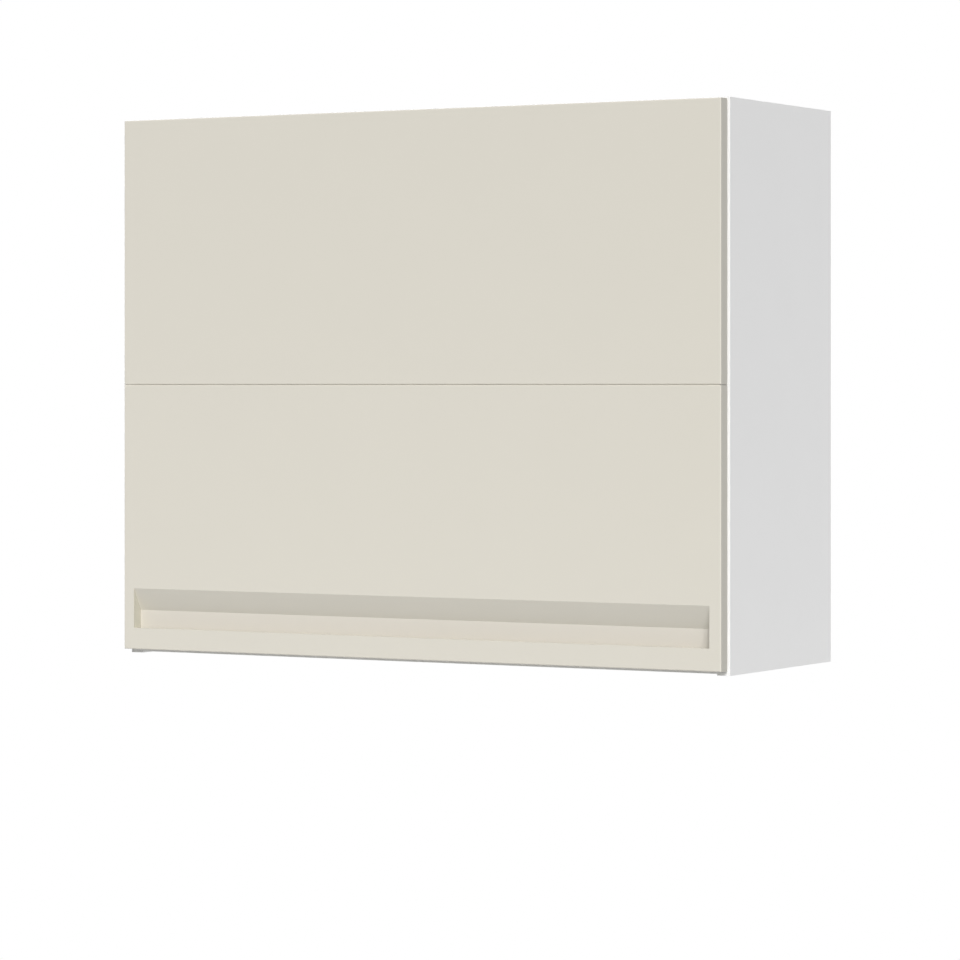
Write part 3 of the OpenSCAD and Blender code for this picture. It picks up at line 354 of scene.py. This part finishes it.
def boardFinish(node, thickness, bandedEnds=False):
    # White faces, and the chipboard core where a hole, a groove or a sawn edge cuts into the board
    s = whiteBoard
    low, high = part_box(node)
    material, tree, inputs = newFinish("whiteBoard." + node, {"IOR": 1.48, "Specular IOR Level": s["gloss"]})
    core = within(tree, thickness, low[thickness] + s["skin"], high[thickness] - s["skin"])
    if bandedEnds:
        core = times(tree, core, within(tree, 2, low[2] + s["skin"], high[2] - s["skin"]))
    mottle = level(tree, cloud(tree, s["mottlePerMetre"], detail=4), 0, 1)
    face = tint(tree, mottle, s["colour"], s["mottle"])
    chips, chipShare = coreColour(tree)
    give(tree, inputs["Base Color"], tint(tree, core, face, chips))
    pearl = cloud(tree, s["pearlPerMetre"])
    roughness = wire(tree, "Math", {0: core, 1: s["coreRougher"], 2: level(tree, pearl, *s["roughness"])},
                     operation="MULTIPLY_ADD").outputs[0]
    give(tree, inputs["Roughness"], roughness)
    sawn = relief(tree, times(tree, core, chipShare), s["chipDepth"])
    give(tree, inputs["Normal"], relief(tree, pearl, s["pearlDepth"], sawn))
    return material


edgeBand = {
    "colour": (0.935, 0.935, 0.925),
    "shade": (0.925, 0.925, 0.912),
    "roughness": (0.30, 0.38),
    "rubPerMetre": 260,
    "rubDepth": 0.000006,
}


def bandFinish():
    s = edgeBand
    material, tree, inputs = newFinish("edgeBand", {"IOR": 1.5})
    rub = cloud(tree, s["rubPerMetre"], (0.05, 1, 1), detail=3)
    give(tree, inputs["Base Color"], tint(tree, level(tree, rub, 0, 1), s["colour"], s["shade"]))
    give(tree, inputs["Roughness"], level(tree, rub, *s["roughness"]))
    give(tree, inputs["Normal"], relief(tree, rub, s["rubDepth"]))
    return material


backBoard = {
    "colour": (0.84, 0.84, 0.835),
    "shade": (0.82, 0.82, 0.815),
    "fibre": (0.385, 0.255, 0.150),
    "paleFibre": (0.455, 0.312, 0.190),
    "fibrePerMetre": 160,
    "fibreRougher": 0.35,
    "roughness": (0.40, 0.50),
    "peelPerMetre": 700,
    "peelDepth": 0.00002,
    "meshPerMetre": 620,
    "meshDepth": 0.00012,
    "skin": 0.0002,
}


def backBoardFinish():
    # Lacquered white on the inside; the rear shows the pressed fibre with its wire-mesh print
    s = backBoard
    low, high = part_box("back_panel")
    material, tree, inputs = newFinish("backBoard", {"IOR": 1.47})
    rear = within(tree, 1, low[1] + s["skin"], high[1] + s["skin"])
    peel = cloud(tree, s["peelPerMetre"])
    fibre = cloud(tree, s["fibrePerMetre"], detail=5, roughness=0.7)
    white = tint(tree, level(tree, peel, 0, 1), s["colour"], s["shade"])
    brown = tint(tree, level(tree, fibre, 0, 1), s["fibre"], s["paleFibre"])
    give(tree, inputs["Base Color"], tint(tree, rear, white, brown))
    rough = wire(tree, "Math", {0: rear, 1: s["fibreRougher"], 2: level(tree, peel, *s["roughness"])},
                 operation="MULTIPLY_ADD").outputs[0]
    give(tree, inputs["Roughness"], rough)
    mesh = grains(tree, s["meshPerMetre"])
    pressed = relief(tree, times(tree, rear, mesh), s["meshDepth"])
    give(tree, inputs["Normal"], relief(tree, peel, s["peelDepth"], pressed))
    return material


def metalFinish(name, s):
    # Plated or drawn metal: patches of two tones, rubbed lines along one axis and a fine grain
    material, tree, inputs = newFinish(name, {"Metallic": s["metal"], "IOR": 1.5})
    patches = level(tree, cloud(tree, s["patchPerMetre"], detail=3), 0, 1)
    lines = cloud(tree, s["linesPerMetre"], s["lineStretch"], detail=3)
    give(tree, inputs["Base Color"], tint(tree, patches, s["colour"], s["shade"]))
    give(tree, inputs["Roughness"], level(tree, lines, *s["roughness"]))
    give(tree, inputs["Normal"], relief(tree, lines, s["lineDepth"]))
    return material


zincPlate = {
    "metal": 1.0,
    "colour": (0.54, 0.555, 0.58),
    "shade": (0.62, 0.62, 0.605),
    "roughness": (0.26, 0.40),
    "patchPerMetre": 55,
    "linesPerMetre": 300,
    "lineStretch": (1, 1, 1),
    "lineDepth": 0.000005,
}

groundRod = {
    "metal": 1.0,
    "colour": (0.74, 0.75, 0.77),
    "shade": (0.68, 0.69, 0.72),
    "roughness": (0.14, 0.26),
    "patchPerMetre": 30,
    "linesPerMetre": 1500,
    "lineStretch": (1, 1, 0.02),
    "lineDepth": 0.000006,
}

blackenedSteel = {
    "metal": 0.9,
    "colour": (0.17, 0.175, 0.185),
    "shade": (0.24, 0.24, 0.245),
    "roughness": (0.34, 0.50),
    "patchPerMetre": 90,
    "linesPerMetre": 800,
    "lineStretch": (1, 1, 1),
    "lineDepth": 0.000015,
}

springWire = {
    "metal": 1.0,
    "colour": (0.36, 0.36, 0.37),
    "shade": (0.46, 0.44, 0.41),
    "roughness": (0.22, 0.34),
    "patchPerMetre": 160,
    "linesPerMetre": 1200,
    "lineStretch": (1, 0.2, 1),
    "lineDepth": 0.00001,
}


def plasticFinish(name, s):
    # Moulded plastic with a spark-eroded grain
    material, tree, inputs = newFinish(name, {"IOR": s["ior"]})
    grain = cloud(tree, s["grainPerMetre"], detail=3)
    flow = level(tree, cloud(tree, s["flowPerMetre"], detail=3), 0, 1)
    give(tree, inputs["Base Color"], tint(tree, flow, s["colour"], s["shade"]))
    give(tree, inputs["Roughness"], level(tree, grain, *s["roughness"]))
    give(tree, inputs["Normal"], relief(tree, grain, s["grainDepth"]))
    return material


coverPlastic = {
    "ior": 1.5,
    "colour": (0.53, 0.54, 0.55),
    "shade": (0.51, 0.52, 0.53),
    "roughness": (0.42, 0.55),
    "grainPerMetre": 1700,
    "grainDepth": 0.00004,
    "flowPerMetre": 18,
}

capPlastic = {
    "ior": 1.5,
    "colour": (0.86, 0.86, 0.855),
    "shade": (0.845, 0.845, 0.84),
    "roughness": (0.32, 0.42),
    "grainPerMetre": 2200,
    "grainDepth": 0.00002,
    "flowPerMetre": 25,
}

slideNylon = {
    "ior": 1.53,
    "colour": (0.20, 0.205, 0.21),
    "shade": (0.25, 0.25, 0.255),
    "roughness": (0.45, 0.60),
    "grainPerMetre": 2600,
    "grainDepth": 0.00003,
    "flowPerMetre": 140,
}

clearBuffer = {
    "colour": (0.90, 0.91, 0.91),
    "shade": (0.86, 0.87, 0.87),
    "roughness": (0.18, 0.30),
    "grainPerMetre": 900,
    "grainDepth": 0.00003,
    "clear": 0.55,
}


def bufferFinish():
    s = clearBuffer
    material, tree, inputs = newFinish("clearBuffer", {"IOR": 1.5, "Transmission Weight": s["clear"]})
    grain = cloud(tree, s["grainPerMetre"], detail=3)
    give(tree, inputs["Base Color"], tint(tree, level(tree, grain, 0, 1), s["colour"], s["shade"]))
    give(tree, inputs["Roughness"], level(tree, grain, *s["roughness"]))
    give(tree, inputs["Normal"], relief(tree, grain, s["grainDepth"]))
    return material


beechWood = {
    "pale": (0.62, 0.42, 0.24),
    "dark": (0.44, 0.27, 0.14),
    "roughness": (0.50, 0.65),
    "grainPerMetre": 1400,
    "fleckPerMetre": 700,
    "fleckDepth": 0.00006,
}


def beechFinish():
    # Grain runs along the dowels, with short dark rays
    s = beechWood
    material, tree, inputs = newFinish("beechWood", {"IOR": 1.45})
    grain = cloud(tree, s["grainPerMetre"], (0.05, 1, 1), detail=4)
    rays = grains(tree, s["fleckPerMetre"], (0.2, 1, 1))
    give(tree, inputs["Base Color"], tint(tree, level(tree, grain, 0, 1), s["pale"], s["dark"]))
    give(tree, inputs["Roughness"], level(tree, grain, *s["roughness"]))
    give(tree, inputs["Normal"], relief(tree, rays, s["fleckDepth"]))
    return material


lacquer = lacquerFinish("creamLacquer", creamLacquer["colour"])
band = bandFinish()
zinc = metalFinish("zincPlate", zincPlate)
rodSteel = metalFinish("groundRod", groundRod)
darkSteel = metalFinish("blackenedSteel", blackenedSteel)
springSteel = metalFinish("springWire", springWire)
cover = plasticFinish("coverPlastic", coverPlastic)
cap = plasticFinish("capPlastic", capPlastic)
nylon = plasticFinish("slideNylon", slideNylon)

plainFinishes = {
    lacquer: ("upper_front", "lower_front"),
    lacquerFinish("plateLacquer", creamLacquer["plateColour"]): ("grip_back_plate",),
    band: ("carcass_edge_bands", "shelf_edge_band"),
    zinc: (
        "shelf_pins", "cam_locks", "carcass_screws", "upper_front_screws", "lower_front_screws",
        "hanger_hook_left", "hanger_hook_right", "hanger_adjusters", "lift_base_left", "lift_base_right",
        "arm_tube_left", "arm_tube_right", "hinge_arm_left", "hinge_arm_right", "hinge_plate_left",
        "hinge_plate_right", "hinge_cup_left", "hinge_cup_right", "fold_upper_leaf_left",
        "fold_upper_leaf_right", "fold_lower_leaf_left", "fold_lower_leaf_right", "front_bracket_left",
        "front_bracket_right",
    ),
    rodSteel: ("lift_guide_rods", "arm_rod_left", "arm_rod_right", "roller_left", "roller_right"),
    darkSteel: (
        "cam_bolts", "cam_left", "cam_right", "lift_adjusters", "hinge_pins", "fold_pins", "bracket_pins",
    ),
    springSteel: ("springs_left", "springs_right"),
    cover: ("lift_cover_left", "lift_cover_right", "hanger_body_left", "hanger_body_right"),
    cap: ("hanger_cover_left", "hanger_cover_right", "cam_caps"),
    nylon: ("spring_slide_left", "spring_slide_right"),
    bufferFinish(): ("door_buffers",),
    beechFinish(): ("connector_dowels",),
    backBoardFinish(): ("back_panel",),
    boardFinish("side_panel_left", 0, True): ("side_panel_left",),
    boardFinish("side_panel_right", 0, True): ("side_panel_right",),
    boardFinish("top_panel", 2): ("top_panel",),
    boardFinish("bottom_panel", 2): ("bottom_panel",),
    boardFinish("shelf", 2): ("shelf",),
}


def dress(piece, material):
    piece.data.materials.clear()
    piece.data.materials.append(material)


finished = set()
for material, names in plainFinishes.items():
    for name in names:
        dress(nodes[name], material)
        finished.add(name)
print("finishes given to", len(finished), "solids; left:", sorted(set(nodes) - finished))


def newPiece(name, form, material, sharpAngle=40):
    mesh = bpy.data.meshes.new(name)
    bmesh.ops.recalc_face_normals(form, faces=form.faces)
    form.to_mesh(mesh)
    form.free()
    mesh.shade_smooth()
    mesh.set_sharp_from_angle(angle=math.radians(sharpAngle))
    mesh.materials.append(material)
    piece = bpy.data.objects.new(name, mesh)
    scene.collection.objects.link(piece)
    return piece


def joinRings(form, rings, closed=False):
    # Quads from each ring of vertices to the next
    pairs = zip(rings, rings[1:] + rings[:1]) if closed else zip(rings, rings[1:])
    for near, far in pairs:
        for k in range(len(near)):
            form.faces.new((near[k - 1], near[k], far[k], far[k - 1]))


# Coil springs of round wire. The end turns lie closed and are ground flat on their seats.
coil = {
    "wireRadius": 1.25 * mm,
    "coilRadius": 6.8 * mm,
    "turns": 14.5,
    "closedTurns": 1.25,
    "rampTurns": 0.5,
    "closedPitch": 2.56 * mm,
    "tipHeight": -0.8 * mm,
    "stepsPerTurn": 28,
    "wireSides": 16,
    "rodRadius": 3 * mm,
    "sharpAngle": 60,
    "seatEnd": -134 * mm,
    "slideEnd": -212 * mm,
}


def coilHeights(length):
    s = coil
    steps = round(s["turns"] * s["stepsPerTurn"])
    shares = []
    for i in range(steps):
        turn = (i + 0.5) / s["stepsPerTurn"]
        fromClosed = min(turn, s["turns"] - turn) - s["closedTurns"]
        share = min(max(fromClosed / s["rampTurns"], 0), 1)
        shares.append(share * share * (3 - 2 * share))
    closedStep = s["closedPitch"] / s["stepsPerTurn"]
    spare = length - 2 * s["tipHeight"] - steps * closedStep
    heights = [s["tipHeight"]]
    for share in shares:
        heights.append(heights[-1] + closedStep + spare * share / sum(shares))
    return heights


def wireOutline(height, length):
    # Outline of the wire as (outward, along) steps from its centre, cut flat where the end is ground
    radius, sides = coil["wireRadius"], coil["wireSides"]
    nearest = min(height, length - height)
    flat = max(-radius, -nearest)
    start = math.asin(flat / radius)
    arc = radius * (math.pi / 2 - start)
    half = arc + radius * math.cos(start)
    way = 1 if height < length / 2 else -1
    outline = []
    for k in range(sides):
        run = 2 * half * k / sides
        hand = 1 if run <= half else -1
        run = min(run, 2 * half - run)
        if run <= arc:
            angle = math.pi / 2 - run / radius
            outline.append((hand * radius * math.cos(angle), way * radius * math.sin(angle)))
        else:
            outline.append((hand * (half - run), way * flat))
    return outline


def addCoil(form, x, z, low, high):
    s = coil
    length = high - low
    rings = []
    for i, height in enumerate(coilHeights(length)):
        angle = 2 * math.pi * i / s["stepsPerTurn"]
        out = Vector((math.cos(angle), 0, math.sin(angle)))
        centre = Vector((x, low + height, z)) + out * s["coilRadius"]
        rings.append([form.verts.new(centre + out * u + Vector((0, v, 0)))
                      for u, v in wireOutline(height, length)])
    joinRings(form, rings)
    form.faces.new(rings[0])
    form.faces.new(rings[-1])


def makeSprings(hand):
    low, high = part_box("springs_" + hand)
    rodLow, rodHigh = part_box("lift_guide_rods")
    rollerLow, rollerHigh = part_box("roller_" + hand)
    x = (rollerLow[0] + rollerHigh[0]) / 2
    s = coil
    form = bmesh.new()
    for z in (rodLow[2] + s["rodRadius"], rodHigh[2] - s["rodRadius"]):
        addCoil(form, x, z, low[1], high[1])
    springs = newPiece("coilSprings." + hand, form, springSteel, s["sharpAngle"])
    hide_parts("springs_" + hand)
    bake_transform(springs)


# A moulded rim round the window of each lift cover, with raised level marks under it
windowRim = {
    "across": (-238 * mm, -130 * mm),
    "height": (508.45 * mm, 558.55 * mm),
    "cornerRadius": 6 * mm,
    "cornerSteps": 8,
    "profile": ((0, -0.1), (0.05, 0.55), (0.3, 0.8), (1.7, 0.8), (2.1, 0.6), (2.3, -0.1)),
    "markAt": (-204 * mm, 502.5 * mm),
    "markStep": 4.5 * mm,
    "markCount": 9,
    "markWide": 1.0 * mm,
    "markHeights": (1.6 * mm, 5.2 * mm),
    "markProud": 0.4 * mm,
}


def roundedLoop(grow):
    # Points [Y, Z] of the window's outline, grown outward
    s = windowRim
    points = []
    r = s["cornerRadius"]
    for corner in range(4):
        y = s["across"][1] - r if corner in (0, 3) else s["across"][0] + r
        z = s["height"][1] - r if corner < 2 else s["height"][0] + r
        for step in range(s["cornerSteps"] + 1):
            angle = math.pi / 2 * (corner + step / s["cornerSteps"])
            points.append((y + (r + grow) * math.cos(angle), z + (r + grow) * math.sin(angle)))
    return points


def makeRim(hand, sign):
    s = windowRim
    low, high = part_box("lift_cover_" + hand)
    face = low[0] if sign > 0 else high[0]
    form = bmesh.new()
    rings = []
    for grow, proud in s["profile"]:
        rings.append([form.verts.new((face - sign * proud * mm, y, z)) for y, z in roundedLoop(grow * mm)])
    joinRings(form, rings, closed=True)
    for k in range(s["markCount"]):
        y = s["markAt"][0] + k * s["markStep"]
        share = k / (s["markCount"] - 1)
        tall = s["markHeights"][0] + share * (s["markHeights"][1] - s["markHeights"][0])
        made = bmesh.ops.create_cube(form, size=1)["verts"]
        for v in made:
            v.co = (face - sign * v.co.x * s["markProud"], y + v.co.y * s["markWide"],
                    s["markAt"][1] + v.co.z * tall)
    rim = newPiece("windowRim." + hand, form, cover)
    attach(rim, "root")


for hand, sign in (("left", -1), ("right", 1)):
    makeSprings(hand)
    makeRim(hand, sign)
print("springs and window rims made")


# A soft light lip on the lower front's top edge, which closes the joint between the fronts
jointLip = {
    "behindFace": 1.3 * mm,
    "wide": 1.2 * mm,
    "endInset": 1.8 * mm,
    "topAir": 0.06 * mm,
    "arcSteps": 6,
}


def makeJointLip():
    s = jointLip
    frontLow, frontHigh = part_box("lower_front")
    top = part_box("upper_front")[0][2] - s["topAir"]
    base = frontHigh[2]
    tall = top - base
    front = frontLow[1] + s["behindFace"]
    outline = [(front + s["wide"], base), (front + s["wide"], top)]
    for k in range(s["arcSteps"] + 1):
        angle = math.pi / 2 * k / s["arcSteps"]
        outline.append((front + tall * (1 - math.sin(angle)), base + tall * math.cos(angle)))
    form = bmesh.new()
    rings = []
    for x in (frontLow[0] + s["endInset"], frontHigh[0] - s["endInset"]):
        rings.append([form.verts.new((x, y, z)) for y, z in outline])
    joinRings(form, rings)
    form.faces.new(rings[0])
    form.faces.new(rings[1])
    lip = newPiece("jointLip", form, lacquer)
    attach(lip, "lower_flap")


makeJointLip()


# Small worn corners on the bands, which the solids leave sharp
bandEdges = {
    "bands": ("carcass_edge_bands", "shelf_edge_band"),
    "width": 0.35 * mm,
    "steps": 3,
    "fromAngle": 40,
    "weldWithin": 0.005 * mm,
}


def easeEdges(node):
    s = bandEdges
    weld = node.modifiers.new("weld", "WELD")
    weld.merge_threshold = s["weldWithin"]
    bevel = node.modifiers.new("easedEdges", "BEVEL")
    bevel.width = s["width"]
    bevel.segments = s["steps"]
    bevel.limit_method = "ANGLE"
    bevel.angle_limit = math.radians(s["fromAngle"])


for name in bandEdges["bands"]:
    easeEdges(nodes[name])
print("joint lip made and band edges eased")
